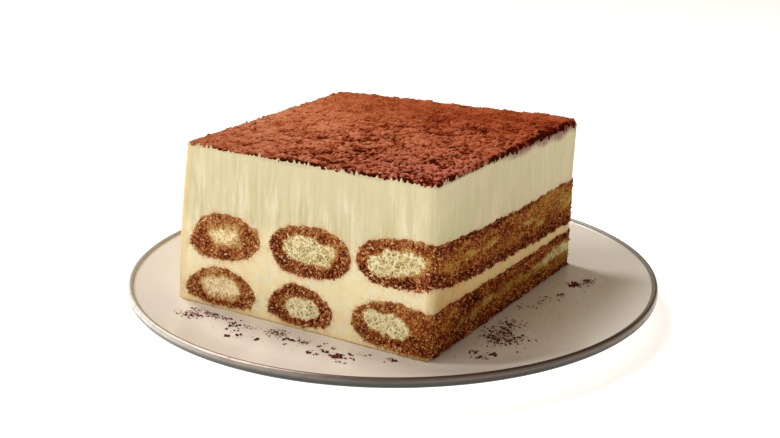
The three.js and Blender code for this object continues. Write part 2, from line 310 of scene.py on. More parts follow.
def set_points(piece, points):
    piece.data.vertices.foreach_set("co", (points * MM).ravel())
    piece.data.update()


def set_attributes(piece, **attributes):
    """Gives a piece named values at its points, which its material reads."""
    for name, values in attributes.items():
        attribute = piece.data.attributes.new(name, "FLOAT", "POINT")
        attribute.data.foreach_set("value", np.asarray(values, np.float32))


def cut(piece, operation, others):
    """Cuts the others out of the piece, or keeps what is inside them. They are then removed."""
    for other in others:
        modifier = piece.modifiers.new("cut", "BOOLEAN")
        modifier.operation = operation
        modifier.solver = "MANIFOLD"
        modifier.object = other
    graph = bpy.context.evaluated_depsgraph_get()
    whole = bpy.data.meshes.new_from_object(piece.evaluated_get(graph))
    piece.modifiers.clear()
    piece.data = whole
    for other in others:
        bpy.data.objects.remove(other)
    whole.shade_smooth()


def finish_piece(piece, material, nodes):
    """Gives a piece its material and body, and hides the CAD nodes that it stands for."""
    piece.data.materials.clear()
    piece.data.materials.append(material)
    if nodes:
        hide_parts(*nodes)
    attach(piece, "root")


def ring_faces(ring_count, point_count):
    """The quads that join each ring of points to the next."""
    point = np.arange(point_count)
    after = np.roll(point, -1)
    quads = np.column_stack([point, after, after + point_count, point + point_count])
    return np.concatenate([quads + ring * point_count for ring in range(ring_count - 1)]).tolist()


def loft(rings):
    """Points and faces of a closed body through rings, whose first and last are closed by a fan."""
    count = len(rings[0])
    faces = ring_faces(len(rings), count)
    points = np.concatenate([*rings, [rings[0].mean(0)], [rings[-1].mean(0)]])
    start = len(rings) * count
    last = (len(rings) - 1) * count
    for i in range(count):
        after = (i + 1) % count
        faces.append((start, after, i))
        faces.append((start + 1, last + i, last + after))
    return points, faces


# ---------------------------------------------------------------- the block's shape

def edge_shares(x, y):
    """How near each place is to each upright edge, as shares that add up to 1."""
    return [
        (0.5 + edge["side"][0] * x / BLOCK_WIDTH) * (0.5 + edge["side"][1] * y / BLOCK_DEPTH)
        for edge in EDGES
    ]


def leaned(points):
    """Upright points moved to where they are in the real block."""
    x, y, z = points.T
    height = z / CREAM_HEIGHT
    placed = points + (*BLOCK_CENTRE, BLOCK_BASE)
    for share, edge in zip(edge_shares(x, y), EDGES):
        placed[:, 0] += edge["lean"][0] * share * height
        placed[:, 1] += edge["lean"][1] * share * height
    leftness = np.clip(0.5 - x / BLOCK_WIDTH, 0, 1) ** LEFT_BULGE_POWER
    placed[:, 0] -= LEFT_BULGE * leftness * np.sin(np.pi * np.clip(height, 0, 1))
    return placed


def block_outline(inset):
    """Points round the block seen from above, drawn in by inset, anticlockwise from the near right edge."""
    corners = []
    for edge in EDGES:
        side = np.array(edge["side"])
        radius = max(edge["radius"] - inset, LEAST_RADIUS)
        middle = side * (HALF_BLOCK - inset - radius)
        start = math.atan2(side[1], side[0]) - math.pi / 4
        angles = start + np.linspace(0, math.pi / 2, CORNER_STEPS)
        corners.append(middle + radius * np.stack([np.cos(angles), np.sin(angles)], axis=1))
    parts = []
    for index, corner in enumerate(corners):
        after = corners[(index + 1) % len(corners)]
        side_length = BLOCK_DEPTH if index % 2 == 0 else BLOCK_WIDTH
        steps = round(side_length / SIDE_SPACING[index])
        along = np.linspace(0, 1, steps + 1)[1:-1, None]
        parts.append(corner)
        parts.append(corner[-1] * (1 - along) + after[0] * along)
    return np.concatenate(parts)


def block_ring(inset, height):
    outline = block_outline(inset)
    return np.column_stack([outline, np.full(len(outline), height)])


def block_skin(name, lip=None):
    """The upright block as a closed body with finely stepped sides. lip raises the top of the sides."""
    steps = round((CREAM_HEIGHT - BASE_ROUNDING) / HEIGHT_SPACING)
    heights = np.linspace(BASE_ROUNDING - BLOCK_SINK, CREAM_HEIGHT, steps)
    rings = [block_ring(inset, -BLOCK_SINK) for inset in (BASE_INSET, BASE_ROUNDING)]
    rings += [block_ring(0, height) for height in heights]
    if lip is not None:
        rings[-1][:, 2] += lip(rings[-1])
        rings.append(block_ring(LIP_THICKNESS, CREAM_HEIGHT - LIP_DIP))
    return add_mesh(name, *loft(rings))


def past_corner(edge, points):
    """The middle of an upright edge's rounding, the edge's sides, how far points are past that middle along
    each axis, and which of them are in the rounding."""
    side = np.array(edge["side"])
    middle = side * (HALF_BLOCK - edge["radius"])
    beyond = (points[:, :2] - middle) * side
    return middle, side, beyond, (beyond > 0).all(axis=1)


def behind_front(points):
    """How far behind the front face each point is."""
    return points[:, 1] + HALF_DEPTH


def from_right(points):
    """How far in from the right face each point is."""
    return HALF_WIDTH - points[:, 0]


def outward(points):
    """The level direction straight out of the block at points on its sides, and how far inside they are."""
    direction = np.zeros((len(points), 2))
    inside = np.full(len(points), np.inf)
    for axis, sign in itertools.product((0, 1), (-1, 1)):
        distance = HALF_BLOCK[axis] - sign * points[:, axis]
        nearer = distance < inside
        inside = np.where(nearer, distance, inside)
        direction[nearer] = 0
        direction[nearer, axis] = sign
    for edge in EDGES:
        _, side, beyond, at_corner = past_corner(edge, points)
        length = np.linalg.norm(beyond, axis=1) + TINY
        direction[at_corner] = (beyond / length[:, None] * side)[at_corner]
        inside = np.where(at_corner, edge["radius"] - length, inside)
    return direction, inside


# ---------------------------------------------------------------- ladyfingers

def finger_axis(finger, y):
    """The section's middle across and up, and its size, at each distance y from the block's middle."""
    part = (y + FINGER_REACH) / (2 * FINGER_REACH)
    spread = 1 + finger["spread"] * part**2
    settled = 1 - np.clip(0.5 - y / BLOCK_DEPTH, 0, 1) ** DRIFT_POWER
    middle_x = finger["across"] - HALF_WIDTH + finger["drift"][0] * settled
    middle_z = finger["up"] + finger["drift"][1] * settled
    return middle_x, middle_z, spread, part


def signed_power(value, power):
    return np.sign(value) * np.abs(value) ** power


def finger_loft(name, finger, swell):
    """A ladyfinger from beyond the front to beyond the back, made larger all round by swell."""
    angle = np.linspace(0, 2 * np.pi, FINGER_POINTS, endpoint=False)
    tilt = math.radians(finger["tilt"])
    rings = []
    for y in np.linspace(FINGER_REACH, -FINGER_REACH, FINGER_STATIONS):
        middle_x, middle_z, spread, part = finger_axis(finger, y)
        cos = signed_power(np.cos(angle), 2 / finger["square"])
        sin = signed_power(np.sin(angle), 2 / finger["square"])
        lobes = FINGER_LOBES * angle + FINGER_LOBE_TWIST * part + finger["across"]
        size = (1 + FINGER_UNEVENNESS * np.sin(lobes)) * spread
        x = (finger["half"][0] * size + swell) * cos * (1 - finger["narrow"] * sin)
        z = (finger["half"][1] * size + swell) * sin
        rings.append(np.column_stack([
            middle_x + x * math.cos(tilt) - z * math.sin(tilt),
            np.full(len(angle), y),
            middle_z + x * math.sin(tilt) + z * math.cos(tilt),
        ]))
    return add_mesh(name, *loft(rings))


def depth_in_ellipse(x, z, half_x, half_z, square=2.0):
    """About how far inside an ellipse each place is, or outside it where negative."""
    part_x = np.abs(x / half_x) + 1e-6
    part_z = np.abs(z / half_z) + 1e-6
    reach = (part_x**square + part_z**square) ** (1 / square)
    slope_x = (part_x / reach) ** (square - 1) / half_x
    slope_z = (part_z / reach) ** (square - 1) / half_z
    return (1 - reach) / np.hypot(slope_x, slope_z)


def turned(x, z, degrees):
    """Places seen from axes that are turned by degrees."""
    angle = math.radians(degrees)
    return x * math.cos(angle) + z * math.sin(angle), z * math.cos(angle) - x * math.sin(angle)


def in_section(finger, points):
    """Places across and up from the middle of a ladyfinger's section, along its tilt, and its size there."""
    middle_x, middle_z, spread, _ = finger_axis(finger, points[:, 1])
    return *turned(points[:, 0] - middle_x, points[:, 2] - middle_z, finger["tilt"]), spread


def finger_depth(finger, points):
    """About how far under a ladyfinger's surface each point is, or outside it where negative."""
    x, z, spread = in_section(finger, points)
    half_z = finger["half"][1] * spread
    narrowed = 1 - finger["narrow"] * np.clip(z / half_z, -1, 1)
    return depth_in_ellipse(x, z, finger["half"][0] * spread * narrowed, half_z, finger["square"])


def direction_in_finger(finger, points):
    """The direction of each point from the section's middle in degrees, as if the section were round."""
    x, z, _ = in_section(finger, points)
    return np.degrees(np.arctan2(z / finger["half"][1], x / finger["half"][0]))


def at_direction(pairs, degrees):
    """The value for each direction, between those that pairs of (direction, value) give all round."""
    directions, values = zip(*pairs)
    return np.interp(degrees, directions, values, period=360)


def right_share(points, start, end):
    """How far each point is on the right face, coming in between two distances behind the front."""
    return smoothstep(2.5, 1.0, from_right(points)) * smoothstep(start, end, behind_front(points))


# Noise is given as its largest value, size and seed.
CRUMB_EDGE_NOISE = ((0.45, 3.2, 24), (0.45, 1.2, 25), (0.25, 0.6, 26))
CORE_EDGE_NOISE = ((0.8, 3.6, 10), (0.7, 1.7, 11), (0.5, 0.8, 12))
CUT_TONE_NOISE = ((0.13, (2, 5, 1.6), 27), (0.1, (2, 2.2, 1.6), 23))
CORE_SQUARE = 2.3
GOLDEN_PALENESS = 0.54
CRUST_PALENESS = 0.14
WARP = 0.5
LUMP_SIZE = 0.8
FINE_SIZE = 0.5
PORE_SPACING = 1.15
PORE_RADIUS = 0.42


def crumb_depth(finger, points):
    """How far inside the crumb's ragged edge each point is."""
    degrees = direction_in_finger(finger, points)
    edge = at_direction(finger["edge"], degrees)
    if finger["name"] in SIDE_CUTS:
        side = SIDE_CUTS[finger["name"]]
        at_right = right_share(points, 0, 8)
        edge += (np.where(degrees > 0, side["above"], side["below"]) - edge) * at_right
    return finger_depth(finger, points) + edge + noises(points, *CRUMB_EDGE_NOISE)


def core_paleness(finger, points):
    """How little of the coffee has reached each point, from 0 where it is soaked to 1 in the pale core."""
    middle_x, middle_z, spread, _ = finger_axis(finger, points[:, 1])
    front_x, front_z, _, _ = finger_axis(finger, -HALF_DEPTH)
    across, up, half_x, half_z = finger["core"]
    x = points[:, 0] - (across - HALF_WIDTH) - (middle_x - front_x)
    z = points[:, 2] - up - (middle_z - front_z)
    x, z = turned(x, z, finger["core_tilt"])
    degrees = np.degrees(np.arctan2(z / half_z, x / half_x))
    depth = depth_in_ellipse(x, z, half_x * spread, half_z * spread, CORE_SQUARE)
    depth += at_direction(finger["core_edge"], degrees)
    depth += noises(points, *CORE_EDGE_NOISE)
    direction, width = finger["gold"]
    towards = 0.5 + 0.5 * np.cos(np.radians(degrees - direction))
    fringe = width * towards**2 * (1 + 0.6 * smooth_noise(points, 3.0, 13))
    blur = finger["blur"]
    core = smoothstep(-0.35 * blur - 0.12, blur + 0.12, depth)
    golden = smoothstep(-0.25 - 0.3 * blur - fringe, 0.05 - 0.5 * fringe, depth)
    soaked = finger["soak"] + 0.05 * np.clip(points[:, 2] - middle_z, -6, 6) / 6
    soaked = soaked + 0.09 * smooth_noise(points, 4.5, 14)
    bright = 0.42 + 0.02 * blur + (0.12 if up < CREAM_HEIGHT / 4 else 0)
    return soaked + (GOLDEN_PALENESS - soaked) * golden + bright * core


def side_paleness(name, finger, points):
    """The paleness on the right face, where a ladyfinger is cut lengthwise."""
    cut_look = SIDE_CUTS[name]
    depth = finger_depth(finger, points)
    ragged = smooth_noise(points, (2.0, 3.0, 1.5), 21) + 0.8 * smooth_noise(points, 1.0, 22)
    start = np.where(direction_in_finger(finger, points) > 0, *cut_look["start"])
    inner = smoothstep(0, 3, depth - start + 1.1 * ragged)
    pale = CRUST_PALENESS + (cut_look["pale"] - CRUST_PALENESS) * inner
    for behind, up, half_length, half_height, patch in cut_look["patches"]:
        inside = depth_in_ellipse(behind_front(points) - behind, points[:, 2] - up, half_length, half_height)
        pale = pale + (patch - pale) * smoothstep(-1, 1, inside + 1.1 * ragged)
    return pale + noises(points, *CUT_TONE_NOISE)


def paleness(finger, points):
    """The paleness anywhere on the block's sides."""
    edge = smoothstep(1.3, 0.1, crumb_depth(finger, points))
    pale = core_paleness(finger, points) + 0.13 * edge + 0.35 * smoothstep(1.8, 0.2, points[:, 2])
    if finger["name"] in SIDE_CUTS:
        at_right = right_share(points, 0.5, 3.5)
        pale_at_right = side_paleness(finger["name"], finger, points) + 0.08 * edge
        pale = pale * (1 - at_right) + pale_at_right * at_right
    return pale


def soaked_share(pale):
    return smoothstep(0.78, 0.42, pale)


def crumb_relief(points, pale):
    """How far the cut crumb stands out, and each place's tone from -1 to 1: lumps in the soaked crumb, and
    fine pores in the pale core."""
    warped = points + WARP * np.column_stack([smooth_noise(points, 1.1, 30 + axis) for axis in range(3)])
    _, tone = nearest_grain(warped, LUMP_SIZE, 33)
    lumps = grain_bumps(warped, LUMP_SIZE, 33)
    fine = grain_bumps(warped, FINE_SIZE, 34)
    distance, value = nearest_grain(warped, PORE_SPACING, 35)
    pores = np.clip(1 - (distance / PORE_RADIUS) ** 2, 0, 1) * (value > 0.3)
    ring = 0.4 * (lumps - 0.62) + 0.15 * (fine - 0.5) - 0.1
    core = 0.22 * (lumps - 0.5) + 0.16 * (fine - 0.5) - 0.55 * pores
    relief = core + (ring - core) * soaked_share(pale) + 0.18 * smooth_noise(points, 4.0, 36)
    return relief, 2 * tone - 1


def grid_cells(columns, rows):
    return np.stack(np.meshgrid(np.arange(columns), np.arange(rows)), axis=-1).reshape(-1, 2)


def skin_places(spacing, seed):
    """Scattered places on the block's upright sides, one in each square of the given spacing."""
    outline = block_outline(0)
    closed = np.vstack([outline, outline[:1]])
    reach = np.concatenate([[0], np.cumsum(np.linalg.norm(np.diff(closed, axis=0), axis=1))])
    cell = grid_cells(int(reach[-1] / spacing), int(GRAIN_TOP / spacing))
    along = (cell[:, 0] + scatter(cell, seed, 1)) * spacing
    up = (cell[:, 1] + scatter(cell, seed, 2)) * spacing
    return np.column_stack([np.interp(along, reach, closed[:, 0]), np.interp(along, reach, closed[:, 1]), up])


def finger_grains(finger, seed, first):
    """Shreds of crumb on a ladyfinger's cut faces: points, faces, paleness, relief and tone."""
    draw = np.random.default_rng(seed)
    places = skin_places(GRAIN_SPACING, seed)
    places = places[(crumb_depth(finger, places) > 0) & (places[:, 2] > GRAIN_BOTTOM)]
    pale = paleness(finger, places)
    smallest, largest = GRAIN_RADII
    share = draw.random(len(places)) ** 1.5 * (0.2 + 0.8 * soaked_share(pale))
    radii = smallest + (largest - smallest) * share
    direction, _ = outward(places)
    rise = draw.uniform(*GRAIN_RISE, len(places)) * radii
    middles = places.copy()
    middles[:, :2] += direction * rise[:, None]
    points, faces = scattered_lumps(middles, radii, draw, lengths=GRAIN_LENGTHS, first=first)
    each = len(points) // len(places)
    out = ((points - np.repeat(places, each, 0))[:, :2] * np.repeat(direction, each, 0)).sum(axis=1)
    tone = np.repeat(draw.uniform(-1, 1, len(places)), each)
    return points, faces, np.repeat(pale, each), out, tone


def add_finger(finger, seed, material):
    body = block_skin("body")
    cut(body, "INTERSECT", [finger_loft("keep", finger, CRUMB_OVERLAP)])
    skin = points_of(body)
    skin_faces = faces_of(body)
    bpy.data.objects.remove(body)
    direction, inside = outward(skin)
    on_skin = inside < ON_SKIN
    pale = paleness(finger, skin)
    relief, tone = crumb_relief(skin, pale)
    sunk = CRUMB_SINK * smoothstep(0.3, -0.4, crumb_depth(finger, skin))
    skin[:, :2] += direction * ((relief + CRUMB_RISE - sunk) * on_skin)[:, None]
    grains, grain_faces, grain_pale, grain_relief, grain_tone = finger_grains(finger, seed, len(skin))
    points = np.vstack([skin, grains])
    points[:, 2] = np.maximum(points[:, 2], PLATE_GAP - BLOCK_SINK)
    piece = add_mesh(finger["name"] + "_crumb", leaned(points), skin_faces + grain_faces.tolist())
    # The side attribute marks the right face and the foot of the near right edge, which the material darkens
    # as painted shade.
    painted_shade_by_corner = 0.6 * smoothstep(14, 4, from_right(points)) * smoothstep(20, 15, points[:, 2])
    set_attributes(
        piece,
        pale=np.concatenate([pale, grain_pale]),
        relief=np.concatenate([relief, grain_relief]),
        tone=np.concatenate([tone, grain_tone]),
        side=np.maximum(right_share(points, 0, 6), painted_shade_by_corner),
        porous=np.full(len(points), 1.0 if finger["blur"] < 1 else 0.4),
    )
    finish_piece(piece, material, [finger["name"]])


# ---------------------------------------------------------------- cream

# The torn points along the top edge: how far apart, their half width for that, their height, and how much
# taller they are at the front and the right.
LIP_SPACING = 1.15
LIP_REACH = 0.55
LIP_HEIGHT = 0.9
LIP_SHOWN = 1.2


def cream_lip(ring):
    """Small torn points of cream that stand up along the top edge, tallest at the front and the right."""
    distance, value = nearest_grain(ring[:, :2], LIP_SPACING, 41)
    point = np.clip(1 - distance / LIP_REACH, 0, 1)
    shown = np.maximum(smoothstep(4, 1, behind_front(ring)), smoothstep(4, 1, from_right(ring)))
    height = LIP_HEIGHT + LIP_SHOWN * shown
    return height * point * value**1.1 + 0.12 * smooth_noise(ring[:, :2], 0.8, 42)


STROKES_PER_SIDE = 225
STROKE_REACH = (5, 22)
STROKE_WIDTH = (0.25, 0.9)
STROKE_RISE = 0.075
CREAM_WAVES = ((0.22, (14, 14, 22), 51), (0.05, (1.4, 1.4, 5), 52))
BLEED_REACH = 1.3
CREAM_PULL = 1.1


def knife_strokes(points, direction):
    """Low upright ridges and grooves that the knife dragged in the cream."""
    draw = np.random.default_rng(5)
    sideways = np.abs(direction[:, 0]) > 0.5
    at_back = direction[:, 1] > 0.5
    at_right = direction[:, 0] > 0
    height = points[:, 2]
    relief = np.zeros(len(points))
    at_side = sideways & ~at_back
    sides = [(0, ~sideways & ~at_back), (0, ~sideways & at_back), (1, at_side & at_right),
             (1, at_side & ~at_right)]
    for axis, on_side in sides:
        along = points[:, axis]
        length = 2 * HALF_BLOCK[axis]
        order = np.flatnonzero(on_side & (np.abs(along) <= length / 2))
        order = order[np.argsort(along[order])]
        sorted_along = along[order]
        for _ in range(STROKES_PER_SIDE):
            middle = length * draw.random() - length / 2
            top = draw.uniform(18, CREAM_HEIGHT + 6)
            reach = draw.uniform(*STROKE_REACH)
            width = draw.uniform(*STROKE_WIDTH)
            rise = draw.normal(0, STROKE_RISE)
            low, high = np.searchsorted(sorted_along, (middle - 3 * width, middle + 3 * width))
            near = order[low:high]
            profile = np.exp(-((along[near] - middle) / width) ** 2)
            down = (top - height[near]) / reach
            relief[near] += rise * profile * smoothstep(0, 0.12, down) * smoothstep(1, 0.3, down)
    return relief


def add_cream(material):
    piece = block_skin("cream_block", cream_lip)
    channels = [finger_loft("channel", finger, -CREAM_OVERLAP) for finger in LADYFINGERS]
    cut(piece, "DIFFERENCE", channels)
    points = points_of(piece)
    direction, inside = outward(points)
    on_skin = (inside < ON_SKIN) & (points[:, 2] > 0)
    relief = knife_strokes(points, direction) * on_skin
    relief += noises(points, *CREAM_WAVES)
    depth = np.max([crumb_depth(finger, points) for finger in LADYFINGERS], axis=0)
    behind = behind_front(points)
    at_left = smoothstep(5.5, 1.2, HALF_WIDTH + points[:, 0])
    low = smoothstep(25, 17, points[:, 2])
    at_right = smoothstep(3, 0.5, from_right(points)) * smoothstep(30, 62, behind)
    below = CREAM_HEIGHT - points[:, 2]
    below += noises(points, (0.5 + 0.6 * at_right, (7, 7, 5), 53), (0.5 * at_right, 1.5, 54))
    dusted = smoothstep(0.8 + 2.5 * at_right, 0.3 * at_right, below)
    set_attributes(
        piece,
        stroke=relief,
        bleed=np.exp(np.clip(depth, -30, 0) / BLEED_REACH),
        height=points[:, 2] / CREAM_HEIGHT,
        # A painted golden glow along the left edge, strongest near the front.
        left_edge=at_left * (0.2 + 0.8 * smoothstep(18, 5, behind)),
        # The right face and the foot of the near right edge are darkened in the material as painted shade.
        right=right_share(points, 0, 6),
        between=right_share(points, -2, 6) * low,
        corner=right_share(points, -2, 3) * low * smoothstep(30, 5, behind),
        dusted=dusted * (0.15 + 0.7 * at_right),
    )
    relief -= CREAM_PULL * smoothstep(0.0, 0.6, depth)
    points[:, :2] += direction * (relief * on_skin)[:, None]
    set_points(piece, leaned(points))
    finish_piece(piece, material, ["cream"])


# ---------------------------------------------------------------- cocoa

COCOA_SPACING = 0.4
COCOA_SINK = 0.25
COCOA_LIMIT = 2.6
COCOA_EDGE_WAVES = ((0.35, 1.7, 70), (0.25, 0.8, 71))

# The layer's lumps: their three sizes, the size of its low swells, the direction in degrees in which they are
# drawn out and how much, and where they turn from fine to coarse, measured from the near right edge.
LUMP_SIZES = (4.4, 2.3, 1.1)
SWELL_SIZE = 9
LUMP_DIRECTION = 32
LUMP_STRETCH = 1.25
COARSE_START = 12
COARSE_END = 85

# The loose clumps: how far apart, how far in from the sides, what share is left out, their radii, how much
# longer than wide they are, their height for their width, and how high they may reach above the cream.
CLUMP_SPACING = 1.5
CLUMP_INSET = 0.5
CLUMPS_LEFT_OUT = 0.3
CLUMP_RADII = (0.16, 0.85)
CLUMP_LENGTHS = (1, 1.6)
CLUMP_FLATNESS = 0.85
CLUMP_LIMIT = 2.3


def cocoa_height(x, y):
    """The thickness of the powder above the cream's top, how high its lumps are, and its even thickness."""
    places = np.column_stack([x, y])
    even = sum(share * edge["cocoa"] for share, edge in zip(edge_shares(x, y), EDGES))
    along, across = turned(x, y, LUMP_DIRECTION)
    drawn = np.column_stack([along / LUMP_STRETCH, across])
    warp = np.column_stack([smooth_noise(places, 2.2, 60), smooth_noise(places, 2.2, 61)])
    warped = drawn + 0.8 * warp
    large = grain_bumps(warped, LUMP_SIZES[0], 62)
    middle = grain_bumps(warped + 0.3 * warp, LUMP_SIZES[1], 63)
    small = grain_bumps(warped, LUMP_SIZES[2], 64)
    swells = smooth_noise(places, SWELL_SIZE, 65)
    from_corner = np.hypot(from_right(places), behind_front(places))
    coarse = smoothstep(COARSE_START, COARSE_END, from_corner)
    lumps = (0.15 + 0.45 * coarse) * (large - 0.6) + (0.65 + 0.05 * coarse) * (middle - 0.58) + 0.16 * swells
    lumps += (1.05 - 0.75 * coarse) * (small - 0.55)
    return np.clip(0.9 * even + lumps * (0.85 + 0.25 * even), 0.08, COCOA_LIMIT), lumps, even


def cocoa_clumps(first):
    """Loose clumps on the powder: points, faces, lump heights and even thickness."""
    draw = np.random.default_rng(14)
    cell = grid_cells(int(BLOCK_WIDTH / CLUMP_SPACING), int(BLOCK_DEPTH / CLUMP_SPACING))
    spot = (cell + draw.random(cell.shape)) * CLUMP_SPACING - HALF_BLOCK
    _, inside = outward(spot)
    spot = spot[(inside > CLUMP_INSET) & (draw.random(len(spot)) > CLUMPS_LEFT_OUT)]
    thickness, lumps, even = cocoa_height(*spot.T)
    smallest, largest = CLUMP_RADII
    radii = smallest + (largest - smallest) * draw.random(len(spot)) ** 2.2
    places = np.column_stack([spot, CREAM_HEIGHT + thickness - 0.3 * radii])
    points, faces = scattered_lumps(places, radii, draw, CLUMP_FLATNESS, CLUMP_LENGTHS, first)
    points[:, 2] = np.minimum(points[:, 2], CREAM_HEIGHT + CLUMP_LIMIT)
    each = len(points) // len(spot)
    # Clump tops get higher lump values and lighter colour, their lower parts darker: painted highlight and
    # painted shade.
    tops = (points[:, 2] - np.repeat(places[:, 2], each)) * 0.5
    lumps = np.repeat(lumps + draw.normal(0, 0.12, len(spot)), each) + tops
    return points, faces, lumps, np.repeat(even, each)


def cocoa_grid():
    """Places over the block's top seen from above, the quads between them, and the places on the outline."""
    columns = round(BLOCK_WIDTH / COCOA_SPACING)
    rows = round(BLOCK_DEPTH / COCOA_SPACING)
    places = (grid_cells(columns + 1, rows + 1) / (columns, rows) * 2 - 1) * HALF_BLOCK
    for edge in EDGES:
        middle, side, beyond, at_corner = past_corner(edge, places)
        shrink = beyond.max(axis=1) / (np.hypot(*beyond.T) + TINY)
        rounded = middle + side * beyond * shrink[:, None]
        places = np.where(at_corner[:, None], rounded, places)
    index = np.arange(len(places)).reshape(rows + 1, columns + 1)
    quads = np.stack([index[:-1, :-1], index[:-1, 1:], index[1:, 1:], index[1:, :-1]], axis=-1)
    border = np.concatenate([index[0, :-1], index[:-1, -1], index[-1, :0:-1], index[:0:-1, 0]])
    return places, quads.reshape(-1, 4), border


def cocoa_skirt(top):
    """The powder's lower edge under its outline, which reaches down the right face in places."""
    skirt = top.copy()
    skirt[:, 2] = CREAM_HEIGHT - COCOA_SINK + 0.2 * smooth_noise(skirt[:, :2], 1.2, 72)
    right = smoothstep(2, 0, from_right(skirt)) * smoothstep(20, 70, behind_front(skirt))
    skirt[:, 2] -= right * np.clip(0.3 + 1.1 * smooth_noise(skirt[:, :2], 2.4, 73), 0, 1.2)
    return skirt


def add_cocoa(material):
    places, quads, border = cocoa_grid()
    thickness, lumps, even = cocoa_height(*places.T)
    direction, inside = outward(places)
    thickness = thickness * (0.3 + 0.7 * smoothstep(-0.2, 1.1, inside))
    wave = noises(places, *COCOA_EDGE_WAVES)
    pull = (wave - 0.12 - 0.2 * smoothstep(2, 0, behind_front(places))) * smoothstep(1.2, 0.0, inside)
    top = np.column_stack([places + direction * pull[:, None], CREAM_HEIGHT + thickness])

    low = len(top) + np.arange(len(border))
    low_after = np.roll(low, -1)
    middle = len(top) + len(border)
    sides = np.column_stack([low, low_after, np.roll(border, -1), border])
    fan = np.column_stack([np.full(len(low), middle), low_after, low])
    clumps, clump_faces, clump_lumps, clump_even = cocoa_clumps(middle + 1)
    points = np.concatenate([top, cocoa_skirt(top[border]), [[0, 0, CREAM_HEIGHT - COCOA_SINK]], clumps])
    faces = [face for part in (quads, sides, fan, clump_faces) for face in part.tolist()]
    piece = add_mesh("cocoa_powder", leaned(points), faces)

    # Darker in patches along the outline, most along the right, and darker on the lower edge: painted shade
    # on the layer's edges.
    patchy = smoothstep(-0.1, 0.7, smooth_noise(places, 3.5, 74))
    patchy = patchy + 0.6 * smoothstep(3, 1, from_right(top)) * smoothstep(20, 60, behind_front(top))
    lumps = lumps - 0.12 * smoothstep(1.0, 0.0, inside) - 0.45 * patchy * smoothstep(2.2, 0.0, inside)
    behind = behind_front(points)
    from_side = from_right(points)
    from_corner = np.hypot(from_side, behind)
    calm = 0.65 * smoothstep(45, 110, from_corner) * smoothstep(1, 9, from_side)
    along_front = smoothstep(50, 6, behind) * smoothstep(18, 32, from_corner)
    at_right = smoothstep(-30, 15, points[:, 0]) * smoothstep(15, 60, behind) * smoothstep(97, 82, behind)
    set_attributes(
        piece,
        lump=np.concatenate([lumps, lumps[border] - 0.3, [0], clump_lumps]),
        thick=np.concatenate([even, even[border], [0], clump_even]),
        damp=smoothstep(48, 4, from_corner),
        soft=calm - 0.55 * smoothstep(90, 20, from_corner),
        deeper=np.minimum(along_front + at_right, 1),
        far=smoothstep(55, 92, behind),
    )
    finish_piece(piece, material, ["cocoa_layer"])


